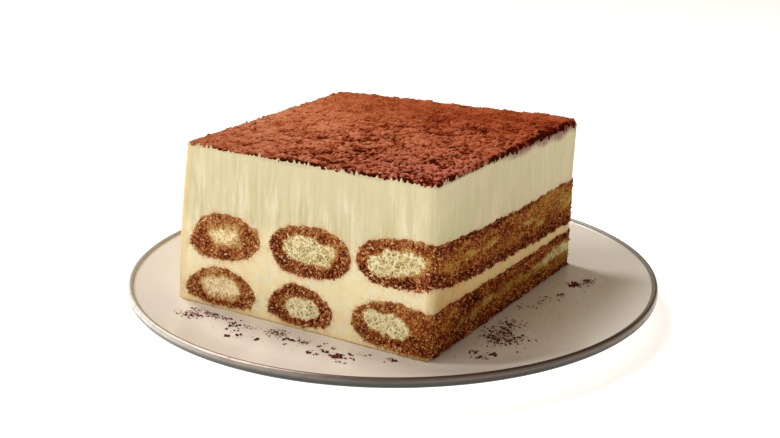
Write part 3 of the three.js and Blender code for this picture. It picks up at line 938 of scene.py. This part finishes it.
# Clusters of cocoa specks on the plate: middle, spread along x and y, how many, the smallest and largest
# speck, and the cluster's turn in degrees if it has one.
SPECK_CLUSTERS = [
    (-38.5, -62.5, 2.4, 1.6, 70, 0.18, 0.7), (-38, -59.8, 2.2, 1.6, 80, 0.18, 0.8),
    (-39.2, -56.4, 1.8, 1.4, 70, 0.18, 0.6), (-34.6, -59.6, 2.6, 1.6, 90, 0.18, 0.8),
    (-33.6, -56.3, 2.2, 1, 70, 0.2, 0.75), (-30.4, -56.8, 2.6, 1.2, 60, 0.2, 0.7),
    (-26, -57, 2.6, 0.9, 34, 0.2, 0.85), (-25.4, -64.7, 0.3, 0.3, 3, 0.3, 0.6),
    (-21.3, -61, 0.6, 1.2, 8, 0.35, 0.95), (-20, -59, 2.4, 1, 34, 0.2, 0.85),
    (-16.6, -59, 1, 0.7, 14, 0.3, 0.95), (-19.2, -64.2, 1.8, 0.8, 9, 0.25, 0.8),
    (-17.4, -67.8, 0.7, 0.5, 9, 0.8, 1.3), (-17, -67.4, 1.6, 1, 8, 0.2, 0.45),
    (-15, -65.3, 0.5, 0.8, 6, 0.6, 1.15), (-14, -65.4, 1.4, 1, 8, 0.2, 0.45),
    (-8.2, -64.7, 0.5, 0.6, 6, 0.6, 1.15), (-7.6, -64.6, 1.5, 0.8, 8, 0.16, 0.4),
    (-14.4, -57.6, 2, 0.9, 24, 0.14, 0.5), (-8.4, -57.8, 2, 1.4, 70, 0.18, 0.65),
    (-4.9, -57.5, 2, 1.6, 80, 0.18, 0.7), (-6.5, -55, 2.2, 0.8, 16, 0.16, 0.6),
    (0.8, -59.4, 1.1, 0.5, 10, 0.8, 1.3), (0.8, -63.2, 0.4, 0.3, 3, 0.4, 0.7),
    (4.6, -58.4, 2.4, 1.4, 80, 0.18, 0.75), (10.2, -64.2, 0.9, 0.4, 8, 0.7, 1.1),
    (10.5, -58.9, 0.3, 0.5, 4, 0.6, 0.9), (11.4, -56.4, 0.4, 0.4, 3, 0.5, 0.8),
    (11.6, -61.4, 1.6, 1.2, 12, 0.2, 0.55), (12.9, -64, 0.5, 0.4, 5, 0.6, 0.9),
    (14.4, -60.8, 0.9, 0.5, 8, 0.7, 1.15), (15.1, -57.8, 0.8, 0.4, 6, 0.5, 0.9),
    (18.7, -62.3, 1.2, 0.6, 18, 0.9, 1.5), (19.5, -60.8, 0.9, 0.5, 10, 0.6, 1.1),
    (19.8, -62, 2.6, 1.8, 26, 0.2, 0.6), (22.2, -64.7, 0.8, 0.5, 7, 0.5, 0.9),
    (21.8, -59.2, 0.6, 0.6, 7, 0.6, 1), (24.3, -61, 0.7, 0.5, 7, 0.5, 0.95),
    (24.6, -57, 1.3, 1, 14, 0.25, 0.75), (26.8, -55.9, 0.3, 0.3, 2, 0.6, 0.8),
    (32.6, -56.1, 0.3, 0.8, 4, 0.3, 0.6), (35.1, -55.4, 1, 0.5, 14, 0.6, 1.1, 12),
    (0, -60.5, 34, 4, 200, 0.1, 0.32, 2), (53.6, -24, 3, 3.8, 170, 0.3, 1.1, 30),
    (50.4, -18.8, 2.4, 2.6, 70, 0.25, 0.9), (51.8, -12.6, 2.8, 3.2, 110, 0.25, 0.9, 30),
    (58.6, -21.6, 2, 3, 34, 0.35, 1), (49.7, -25.8, 1.4, 0.8, 12, 0.35, 0.9),
    (57, -25, 4.6, 5, 90, 0.25, 0.9), (51.2, -38, 1.2, 1, 12, 0.6, 1.2),
    (57.2, -36.2, 0.9, 0.7, 12, 0.7, 1.2), (55.3, -40.7, 1.6, 0.7, 16, 0.5, 1, 30),
    (54, -38.4, 3.4, 1.8, 40, 0.2, 0.6, 30), (48.3, 1.6, 1.4, 2, 18, 0.3, 0.8),
    (51.7, 2.9, 1.2, 1.2, 10, 0.3, 0.8), (52, 9.6, 1.6, 2.2, 30, 0.25, 0.8),
    (51.4, 13.4, 1.2, 1.4, 16, 0.25, 0.75), (54.6, 17.2, 1.4, 2, 22, 0.3, 0.9),
    (50.7, 27.9, 1.4, 2.2, 12, 0.3, 0.8), (55, 29.8, 1.4, 1.8, 46, 0.5, 1.3),
    (57.6, 35, 1.6, 1.8, 34, 0.4, 1.1), (56.6, 31.6, 3.4, 3.6, 50, 0.2, 0.6),
    (57.4, -5, 7, 16, 220, 0.1, 0.36, -10), (60, 20, 8, 16, 120, 0.1, 0.32),
]
# Their height for their width, how far they stay from the block, how far they may lie past the plate's well,
# and how deep one may reach into the glaze.
SPECK_FLATNESS = 0.5
SPECK_CLEARANCE = 0.6
SPECK_REACH = 5
SPECK_SINK = 0.02


def ground(places):
    """The plate's height at each place."""
    radii, heights = slope(np.linspace(-0.6, 1, 60), 0).T
    return np.interp(np.hypot(places[:, 0], places[:, 1]), radii, heights)


def add_specks(material):
    draw = np.random.default_rng(8)
    places = []
    sizes = []
    for x, y, spread_x, spread_y, count, smallest, largest, *turn in SPECK_CLUSTERS:
        along, across = draw.normal(0, 0.8, (2, count)) * [[spread_x], [spread_y]]
        if turn:
            across, along = turned(across, along, *turn)
        places.append(np.column_stack([x + along, y + across]))
        sizes.append(smallest + (largest - smallest) * draw.random(count) ** 3.5)
    places = np.concatenate(places)
    radii = np.concatenate(sizes) / 2
    base = (places - BLOCK_CENTRE) / (HALF_BLOCK + SPECK_CLEARANCE)
    clear = (np.abs(base).max(axis=1) > 1) & (np.hypot(*places.T) < WELL_RADIUS + SPECK_REACH)
    middles = np.column_stack([places, ground(places) + SPECK_FLATNESS * radii * 0.8])[clear]
    points, faces = scattered_lumps(middles, radii[clear], draw, flat=SPECK_FLATNESS)
    points[:, 2] = np.maximum(points[:, 2], ground(points) - SPECK_SINK)
    piece = add_mesh("cocoa_specks", points, faces.tolist())
    set_attributes(piece, speck_radius=np.repeat(radii[clear], len(points) // clear.sum()))
    finish_piece(piece, material, [])


# ---------------------------------------------------------------- plate

def arc(middle, radius, start, end, steps):
    angles = np.radians(np.linspace(start, end, steps))
    return np.array(middle) + radius * np.stack([np.cos(angles), np.sin(angles)], axis=1)


def slope(part, thickness):
    """The plate's rising side, from the well at part 0 to the bead at part 1."""
    inner = PLATE_RADIUS - 2 * RIM_BEAD_RADIUS
    radius = WELL_RADIUS + (inner - WELL_RADIUS) * part
    eased = (part + np.hypot(part, SLOPE_EASING)) / (1 + math.hypot(1, SLOPE_EASING))
    height = WELL_HEIGHT - thickness + (RIM_RISE - RIM_BEAD_RADIUS) * eased**SLOPE_CURVE
    return np.column_stack([radius, height])


def lathe(name, profile):
    """A closed body from a closed profile of (radius, height) turned round the upright axis."""
    turn = np.linspace(0, 2 * np.pi, PLATE_SEGMENTS, endpoint=False)
    rings = [
        np.column_stack([radius * np.cos(turn), radius * np.sin(turn), np.full(len(turn), height)])
        for radius, height in profile
    ]
    faces = ring_faces(len(rings) + 1, len(turn))
    total = len(rings) * len(turn)
    faces = [tuple(i % total for i in face) for face in faces]
    return add_mesh(name, np.concatenate(rings), faces)


def bead(inset, start, end, steps):
    """The rounded rim from the angle start over its outside to the angle end, drawn in by inset."""
    angles = np.radians(np.linspace(start, end, steps))
    radius = RIM_BEAD_RADIUS - inset
    middle = WELL_HEIGHT + RIM_RISE - RIM_BEAD_RADIUS - np.where(angles < 0, RIM_WALL, 0)
    across = PLATE_RADIUS - RIM_BEAD_RADIUS + radius * np.cos(angles)
    return np.column_stack([across, middle + radius * np.sin(angles)])


def add_plate(material):
    steps = np.linspace(-0.6, 1, 40)
    under_thickness = PLATE_THICKNESS + (RIM_THICKNESS - PLATE_THICKNESS) * np.clip(steps, 0, 1)
    flat = np.linspace(PLATE_EYE, slope(steps[:1], 0)[0, 0], 12)[:-1]
    foot_inside = FOOT_RADIUS - FOOT_WIDTH
    under_foot = np.linspace(foot_inside - FOOT_SLOPE - FOOT_HOLLOW, PLATE_EYE, 8)
    profile = np.concatenate([
        np.column_stack([flat, np.full(len(flat), WELL_HEIGHT)]),
        slope(steps, 0),
        bead(BAND_THICKNESS, 130, -80, 15),
        slope(steps, under_thickness)[::-1][1:],
        arc((FOOT_RADIUS + FOOT_SLOPE, FOOT_HEIGHT - FOOT_HOLLOW), FOOT_HOLLOW, 90, 200, 7),
        arc((FOOT_RADIUS - FOOT_ROUNDING, FOOT_ROUNDING), FOOT_ROUNDING, 0, -90, 5),
        arc((foot_inside + FOOT_ROUNDING, FOOT_ROUNDING), FOOT_ROUNDING, -90, -180, 5),
        arc((foot_inside - FOOT_SLOPE, FOOT_HEIGHT - FOOT_HOLLOW), FOOT_HOLLOW, -20, 90, 7),
        np.column_stack([under_foot, np.full(len(under_foot), FOOT_HEIGHT)]),
    ])
    piece = lathe("porcelain_plate", profile[::-1])
    finish_piece(piece, material, ["plate"])


def add_rim_band(material):
    """The thin metal band round the plate's bead."""
    steps = 24
    outer = bead(0, 150, -95, steps)
    inner = bead(2.2 * BAND_THICKNESS, -95, 150, steps)
    part = np.linspace(0, 1, steps)
    piece = lathe("rim_band", np.concatenate([outer, inner])[::-1])
    across_band = np.concatenate([part, part[::-1]])[::-1]
    set_attributes(piece, across_band=np.repeat(across_band, PLATE_SEGMENTS))
    finish_piece(piece, material, [])


# ---------------------------------------------------------------- materials

class Value:
    """Something that varies over a surface, given by a node's output. Sums and products make more nodes."""

    def __init__(self, finish, socket):
        self.finish = finish
        self.socket = socket

    def __add__(self, other):
        return self.finish.math("ADD", self, other)

    def __sub__(self, other):
        return self.finish.math("SUBTRACT", self, other)

    def __mul__(self, other):
        return self.finish.math("MULTIPLY", self, other)

    def span(self, low, high, to_low=0.0, to_high=1.0):
        """The value with its stretch from low to high brought to the other two, and held beyond its ends."""
        inputs = {"Value": self, "From Min": low, "From Max": high, "To Min": to_low, "To Max": to_high}
        return self.finish.node("MapRange", "Result", inputs)


class Finish:
    """A material's nodes, built with short calls. paint and tint lay colours over the colour so far."""

    def __init__(self, name, **shader_values):
        self.material = bpy.data.materials.new(name)
        self.material.use_nodes = True
        self.tree = self.material.node_tree
        self.shader = self.tree.nodes["Principled BSDF"]
        self.colour = None
        for name, value in shader_values.items():
            self.shader.inputs[name.replace("_", " ")].default_value = value

    def feed(self, socket, value):
        if isinstance(value, Value):
            self.tree.links.new(value.socket, socket)
        else:
            socket.default_value = value

    def node(self, kind, output, inputs, **settings):
        """A new node's output. The settings come first, because they decide which inputs it has."""
        made = self.tree.nodes.new("ShaderNode" + kind)
        for name, value in settings.items():
            setattr(made, name, value)
        for name, value in inputs.items():
            self.feed(made.inputs[name], value)
        return Value(self, made.outputs[output])

    def math(self, operation, a, b):
        return self.node("Math", "Value", {0: a, 1: b}, operation=operation)

    def place(self, scale=(1, 1, 1)):
        """The place on the object in metres, stretched along each axis."""
        spot = self.node("TexCoord", "Object", {})
        return self.node("Mapping", "Vector", {"Vector": spot, "Scale": scale})

    def noise(self, size, detail=3, roughness=0.55, scale=(1, 1, 1), distortion=0.0):
        """Noise from 0 to 1 with swells of about size millimetres."""
        inputs = {"Vector": self.place(scale), "Scale": 1 / (size * MM), "Detail": detail,
                  "Roughness": roughness, "Distortion": distortion}
        return self.node("TexNoise", "Fac", inputs)

    def grains(self, size):
        """Scattered grains of about size millimetres: the distance to the nearest, and its own value."""
        distance = self.node("TexVoronoi", "Distance", {"Vector": self.place(), "Scale": 1 / (size * MM)})
        colour = Value(self, distance.socket.node.outputs["Color"])
        return distance, self.node("SeparateColor", "Red", {"Color": colour})

    def attribute(self, name):
        return self.node("Attribute", "Fac", {}, attribute_name=name)

    def ramp(self, value, *stops):
        """Colours for a value, between stops of its size and the red, green and blue there."""
        made = self.node("ValToRGB", "Color", {"Fac": value})
        elements = made.socket.node.color_ramp.elements
        while len(elements) < len(stops):
            elements.new(1.0)
        for element, (position, *colour) in zip(elements, stops):
            element.position = position
            element.color = (*colour, 1)
        return made

    def mix(self, share, a, b, blend="MIX"):
        """Colour a, with a share of it covered or multiplied by colour b."""
        a, b = ((*colour, 1) if isinstance(colour, tuple) else colour for colour in (a, b))
        return self.node("Mix", 2, {0: share, 6: a, 7: b}, data_type="RGBA", blend_type=blend)

    def paint(self, share, colour):
        self.colour = self.mix(share, self.colour, colour)

    def tint(self, share, colour):
        self.colour = self.mix(share, self.colour, colour, "MULTIPLY")

    def done(self, bump=None, depth=0, strength=1.0, roughness=None):
        """The material, with the colour so far, its roughness, and relief of a depth in millimetres."""
        self.feed(self.shader.inputs["Base Color"], self.colour)
        if roughness:
            self.feed(self.shader.inputs["Roughness"], roughness)
        if bump:
            inputs = {"Height": bump, "Distance": depth * MM, "Strength": strength}
            self.feed(self.shader.inputs["Normal"], self.node("Bump", "Normal", inputs))
        return self.material


def cream_finish():
    finish = Finish("mascarpone_cream", Specular_IOR_Level=0.25, Subsurface_Weight=0.25,
                    Subsurface_Radius=(1.0, 0.7, 0.35), Subsurface_Scale=0.0012)
    height = finish.attribute("height")
    right = finish.attribute("right")
    clouds = finish.noise(16, 2)
    streaks = finish.noise(1.8, 3, 0.6, scale=(1, 1, 0.09), distortion=0.3)
    finish.colour = finish.ramp(
        height + clouds.span(0.3, 0.7, -0.14, 0.14),
        (0.05, 0.97, 0.885, 0.542), (0.4, 0.91, 0.825, 0.541), (0.6, 0.69, 0.634, 0.411),
        (0.95, 0.68, 0.624, 0.401),
    )
    # Light and dark streaks, mostly in the upper part.
    where = finish.noise(11, 2, scale=(1, 1, 0.5)).span(0.35, 0.55) * height.span(0.3, 0.6, 0.2, 1)
    where = where * height.span(0.95, 0.75, 0.45, 1) * right.span(0, 1, 1, 0.35)
    finish.paint(streaks.span(0.5, 0.66, 0, 0.85) * where, (0.84, 0.785, 0.582))
    finish.paint(streaks.span(0.47, 0.32, 0, 0.65) * where, (0.56, 0.493, 0.25))
    # Pale smears and peach stains lower down, with light knife strokes over them.
    smears = finish.noise(4, 4, 0.6, scale=(1, 1, 0.75)).span(0.5, 0.6)
    finish.paint(smears * height.span(0.62, 0.45) * 0.8, (0.9, 0.865, 0.697))
    finish.paint(finish.attribute("stroke").span(0.05, 0.3, 0, 0.4), (0.84, 0.78, 0.56))
    peach = finish.noise(6, 3, 0.65).span(0.46, 0.64, 0, 0.65)
    finish.paint(peach * height.span(0.6, 0.4), (0.93, 0.745, 0.47))
    # A painted golden glow along the left edge, standing in for light shining through the cream there, a
    # golden strip along the foot, and coffee next to the ladyfingers.
    finish.paint(finish.attribute("left_edge") * 0.9, (0.73, 0.53, 0.23))
    foot = (height + streaks.span(0.3, 0.7, -0.02, 0.02)).span(0.05, 0)
    finish.paint(foot * 0.6, (0.84, 0.6, 0.26))
    _, value = finish.grains(0.75)
    bleed = finish.attribute("bleed") * value.span(0.2, 0.9, 0.2, 1)
    finish.paint(bleed.span(0.1, 0.9, 0, 0.7), (0.66, 0.38, 0.16))
    # The right face's cloudy tones, darkened as painted shade, the tone between its two ladyfingers, and
    # painted shade at the foot of the near edge.
    side = finish.ramp(
        finish.noise(9, 3, 0.55, scale=(1, 1, 0.7)),
        (0.36, 0.9, 0.95, 0.85), (0.5, 0.94, 0.935, 0.91), (0.64, 1.02, 0.975, 1.01),
    )
    finish.tint(right, side)
    finish.tint(finish.attribute("between"), (0.96, 0.82, 0.6))
    finish.tint(finish.attribute("corner"), (0.74, 0.67, 0.57))
    dust = finish.attribute("dusted") * finish.noise(0.9, 4, 0.7).span(0.3, 0.6, 0.6, 1.4)
    finish.paint(dust, (0.23, 0.085, 0.055))
    return finish.done(streaks, 0.12, 0.6, roughness=clouds.span(0.3, 0.7, 0.42, 0.6))


def crumb_finish():
    finish = Finish("soaked_ladyfinger", Specular_IOR_Level=0.04)
    pale, tone, relief, at_side, porous = (
        finish.attribute(name) for name in ("pale", "tone", "relief", "side", "porous")
    )
    fine = finish.noise(0.45, 3, 0.65)
    mottle = finish.noise(1.1, 3, 0.6)
    pores, pore_value = finish.grains(0.95)
    flecks = tone * 0.19 + fine.span(0.25, 0.75, -0.2, 0.2) + mottle.span(0.3, 0.7, -0.16, 0.16)
    # The relief makes hollows darker and raised crumb lighter: painted shade and painted highlight.
    value = pale + flecks * at_side.span(0, 1, 1, 0.65) + relief.span(-0.45, 0.35, -0.16, 0.12)
    finish.colour = finish.ramp(
        value * 0.85,
        (0, 0.04, 0.004, 0.001), (0.1, 0.105, 0.014, 0.005), (0.22, 0.237, 0.047, 0.016),
        (0.34, 0.405, 0.116, 0.034), (0.46, 0.57, 0.24, 0.07), (0.6, 0.61, 0.39, 0.146),
        (0.71, 0.65, 0.524, 0.25), (0.85, 0.85, 0.775, 0.49), (1, 0.98, 0.9, 0.62),
    )
    # Lighter raised crumbs on the soaked parts, their dry colour with a painted highlight, and bright raised
    # ones round the pale core, which are painted highlight.
    dry_crumbs_and_highlight = tone.span(0.15, 0.75) * relief.span(-0.05, 0.25, 0, 0.75) * pale.span(0.6, 0.35)
    finish.paint(dry_crumbs_and_highlight, (0.78, 0.42, 0.18))
    bright = tone.span(0.72, 0.95) * relief.span(0, 0.2, 0, 0.75) * at_side.span(0.6, 0)
    finish.paint(bright * pale.span(0.7, 0.5), (0.92, 0.72, 0.46))
    # Dark pores in the pale core: an olive tone, with painted shade in the holes.
    pore = pores.span(0.45, 0.18) * pore_value.span(0.2, 0.35) * pale.span(0.45, 0.8, 0.2, 1)
    finish.paint(pore * porous, (0.3, 0.19, 0.035))
    # A warmer core where few pores show, and painted shade on the right face and at the foot of the near
    # right edge.
    finish.tint(porous.span(1, 0.4) * pale.span(0.6, 0.9), (1.08, 0.99, 0.98))
    shaded = finish.ramp(pale, (0.18, 0.92, 0.74, 0.64), (0.42, 0.88, 0.87, 0.59))
    finish.tint(at_side * pale.span(0.65, 1, 1, 0.35), shaded)
    return finish.done(fine + pores, 0.2, 0.8, roughness=pale.span(0.1, 0.9, 0.55, 0.9))


def cocoa_finish():
    finish = Finish("cocoa_powder", Roughness=0.95, Specular_IOR_Level=0.04)
    fine = finish.noise(0.55, 4, 0.8)
    cells, _ = finish.grains(1.2)
    # Darker in the crevices between lumps and clumps and lighter on their tops: painted shade and painted
    # highlight over the powder's own grain.
    value = finish.attribute("lump").span(-0.39, 0.35) + fine.span(0.25, 0.75, -0.34, 0.34)
    value = value + cells.span(0.15, 0.75, 0.2, -0.26) + finish.noise(11, 2).span(0.3, 0.7, -0.08, 0.08)
    value = value - (value - 0.5) * finish.attribute("soft")
    finish.colour = finish.ramp(
        value + 0.03,
        (0.02, 0.075, 0.005, 0.001), (0.25, 0.3, 0.05, 0.011), (0.52, 0.59, 0.193, 0.082),
        (1, 0.8, 0.342, 0.208),
    )
    # Lighter where the layer is thin and deeper where it is thick, then its broad tones.
    thick = finish.attribute("thick")
    finish.tint(thick.span(1.2, 0.6, 0, 0.6), (1.2, 1.45, 1.8))
    finish.tint(thick.span(0.7, 2.1, 0, 0.7), (0.84, 0.46, 0.32))
    finish.tint(finish.attribute("far"), (0.82, 0.7, 0.6))
    finish.tint(finish.attribute("deeper"), (0.78, 0.66, 0.6))
    # Darker and more purple towards the near right corner, a tone set by place.
    finish.tint(finish.attribute("damp"), (0.84, 0.73, 0.92))
    return finish.done(fine - cells, 0.45, 0.95)


def speck_finish():
    finish = Finish("cocoa_specks", Roughness=0.9, Specular_IOR_Level=0.15)
    finish.colour = finish.ramp(
        finish.noise(1.2, 3),
        (0.3, 0.075, 0.009, 0.008), (0.5, 0.13, 0.02, 0.016), (0.75, 0.24, 0.052, 0.038),
    )
    finish.paint(finish.attribute("speck_radius").span(0.3, 0.1), (0.38, 0.15, 0.135))
    return finish.done(finish.noise(0.3), 0.05)


def glaze_finish():
    finish = Finish("porcelain_glaze", Specular_IOR_Level=0.45, Coat_Weight=0.15, Coat_Roughness=0.15)
    clouds = finish.noise(45, 1)
    finish.colour = finish.ramp(clouds, (0.3, 0.745, 0.695, 0.655), (0.7, 0.765, 0.72, 0.682))
    return finish.done(roughness=clouds.span(0.3, 0.7, 0.28, 0.32))


def rim_finish():
    """Metal whose light and dark round the rim are painted reflections and painted shade: bright at the left
    and the back, dark at its front, with a dark line along its inside and a dark strip under the bead. Each
    strip of the band has colours by the turn round the rim: left, front, right, back."""
    finish = Finish("worn_metal_rim_painted_reflections", Metallic=0.3, Specular_IOR_Level=0.3)
    wear = finish.noise(3.0, 4, 0.6)
    spot = finish.place()
    across, along = (finish.node("SeparateXYZ", axis, {"Vector": spot}) for axis in "XY")
    turn = finish.math("ARCTAN2", along, across).span(-math.pi, math.pi)
    line = finish.ramp(
        turn,
        (0, 0.46, 0.42, 0.38), (0.16, 0.42, 0.38, 0.34), (0.25, 0.22, 0.14, 0.11),
        (0.33, 0.05, 0.028, 0.024), (0.38, 0.028, 0.014, 0.011), (0.46, 0.028, 0.014, 0.011),
        (0.54, 0.26, 0.22, 0.185), (0.7, 0.3, 0.31, 0.31), (1, 0.46, 0.42, 0.38),
    )
    top = finish.ramp(
        turn,
        (0, 0.92, 0.89, 0.85), (0.19, 0.9, 0.86, 0.82), (0.25, 0.5, 0.4, 0.35),
        (0.31, 0.085, 0.05, 0.042), (0.38, 0.055, 0.034, 0.028), (0.46, 0.032, 0.018, 0.014),
        (0.54, 0.032, 0.018, 0.014), (0.6, 0.06, 0.045, 0.038), (0.66, 0.2, 0.19, 0.18),
        (0.72, 0.55, 0.56, 0.56), (1, 0.92, 0.89, 0.85),
    )
    side = finish.ramp(
        turn,
        (0, 0.92, 0.9, 0.87), (0.17, 0.88, 0.86, 0.83), (0.25, 0.34, 0.3, 0.275),
        (0.33, 0.15, 0.118, 0.108), (0.42, 0.175, 0.135, 0.118), (0.48, 0.24, 0.185, 0.155),
        (0.55, 0.58, 0.47, 0.35), (0.64, 0.2, 0.19, 0.17), (1, 0.92, 0.9, 0.87),
    )
    under = finish.ramp(
        turn,
        (0, 0.28, 0.28, 0.255), (0.18, 0.14, 0.145, 0.13), (0.28, 0.05, 0.058, 0.056),
        (0.42, 0.04, 0.043, 0.042), (0.5, 0.09, 0.07, 0.058), (0.62, 0.1, 0.095, 0.085),
        (1, 0.3, 0.3, 0.27),
    )
    part = finish.attribute("across_band")
    finish.colour = line
    finish.paint(part.span(0.26, 0.32), top)
    finish.paint(part.span(0.37, 0.44), side)
    finish.paint(part.span(0.58, 0.64), under)
    finish.paint(wear.span(0.5, 0.75, 0, 0.3), (0.07, 0.055, 0.045))
    return finish.done(wear, 0.03, 0.3, roughness=wear.span(0.3, 0.7, 0.28, 0.42))


def floor_finish():
    finish = Finish("pale_floor", Roughness=0.8, Specular_IOR_Level=0.1, Emission_Color=(1, 1, 1, 1),
                    Emission_Strength=0.55)
    finish.colour = finish.ramp(finish.noise(60, 2), (0.3, 0.93, 0.93, 0.925), (0.7, 0.95, 0.95, 0.945))
    return finish.done()


# ---------------------------------------------------------------- camera, light and floor

CAMERA_PLACE = (0.19556, -0.31651, 0.14724)
CAMERA_RIGHT = (0.84876, 0.52877, 0.00357)
CAMERA_UP = (-0.16458, 0.25775, 0.95209)
CAMERA_BACK = (0.50252, -0.80868, 0.30579)
CAMERA_LENS = 53.29


def add_camera():
    data = bpy.data.cameras.new("camera")
    data.lens = CAMERA_LENS
    data.sensor_width = 36
    data.sensor_fit = "HORIZONTAL"
    data.clip_start = 0.01
    data.clip_end = 50
    camera = bpy.data.objects.new("camera", data)
    turn = Matrix((CAMERA_RIGHT, CAMERA_UP, CAMERA_BACK)).transposed().to_4x4()
    camera.matrix_world = Matrix.Translation(CAMERA_PLACE) @ turn
    bpy.context.scene.collection.objects.link(camera)
    bpy.context.scene.camera = camera


def add_area_light(name, place, width, length, power, colour):
    data = bpy.data.lights.new(name, "AREA")
    data.shape = "ELLIPSE"
    data.size = width
    data.size_y = length
    data.energy = power
    data.color = colour
    light = bpy.data.objects.new(name, data)
    light.location = place
    light.rotation_euler = (Vector((0, 0, 0.03)) - Vector(place)).to_track_quat("-Z", "Y").to_euler()
    bpy.context.scene.collection.objects.link(light)


def add_studio():
    scene = bpy.context.scene
    scene.view_settings.view_transform = "Standard"
    world = bpy.data.worlds.new("studio")
    world.use_nodes = True
    background = world.node_tree.nodes["Background"]
    background.inputs["Color"].default_value = (1.0, 0.85, 0.62, 1)
    background.inputs["Strength"].default_value = 0.34
    scene.world = world
    add_area_light("key", (-0.42, 0.15, 0.73), 0.16, 0.5, 3.7, (1.0, 0.975, 0.93))
    add_area_light("front_key", (-0.46, -0.25, 0.66), 0.16, 0.5, 2.4, (1.0, 0.975, 0.93))
    add_area_light("fill", (-0.3, -0.8, 0.42), 0.6, 0.6, 1.45, (1.0, 0.99, 0.99))
    add_area_light("side_fill", (0.8, -0.46, 0.12), 0.5, 0.5, 0.78, (1.0, 0.94, 0.86))
    floor = add_mesh("floor", [(-3000, -3000, 0), (3000, -3000, 0), (3000, 3000, 0), (-3000, 3000, 0)],
                     [(0, 1, 2, 3)])
    floor.data.materials.append(floor_finish())


# ---------------------------------------------------------------- the whole

add_camera()
add_studio()
add_plate(glaze_finish())
add_rim_band(rim_finish())
add_cream(cream_finish())
crumb = crumb_finish()
for number, ladyfinger in enumerate(LADYFINGERS):
    add_finger(ladyfinger, number, crumb)
add_cocoa(cocoa_finish())
add_specks(speck_finish())
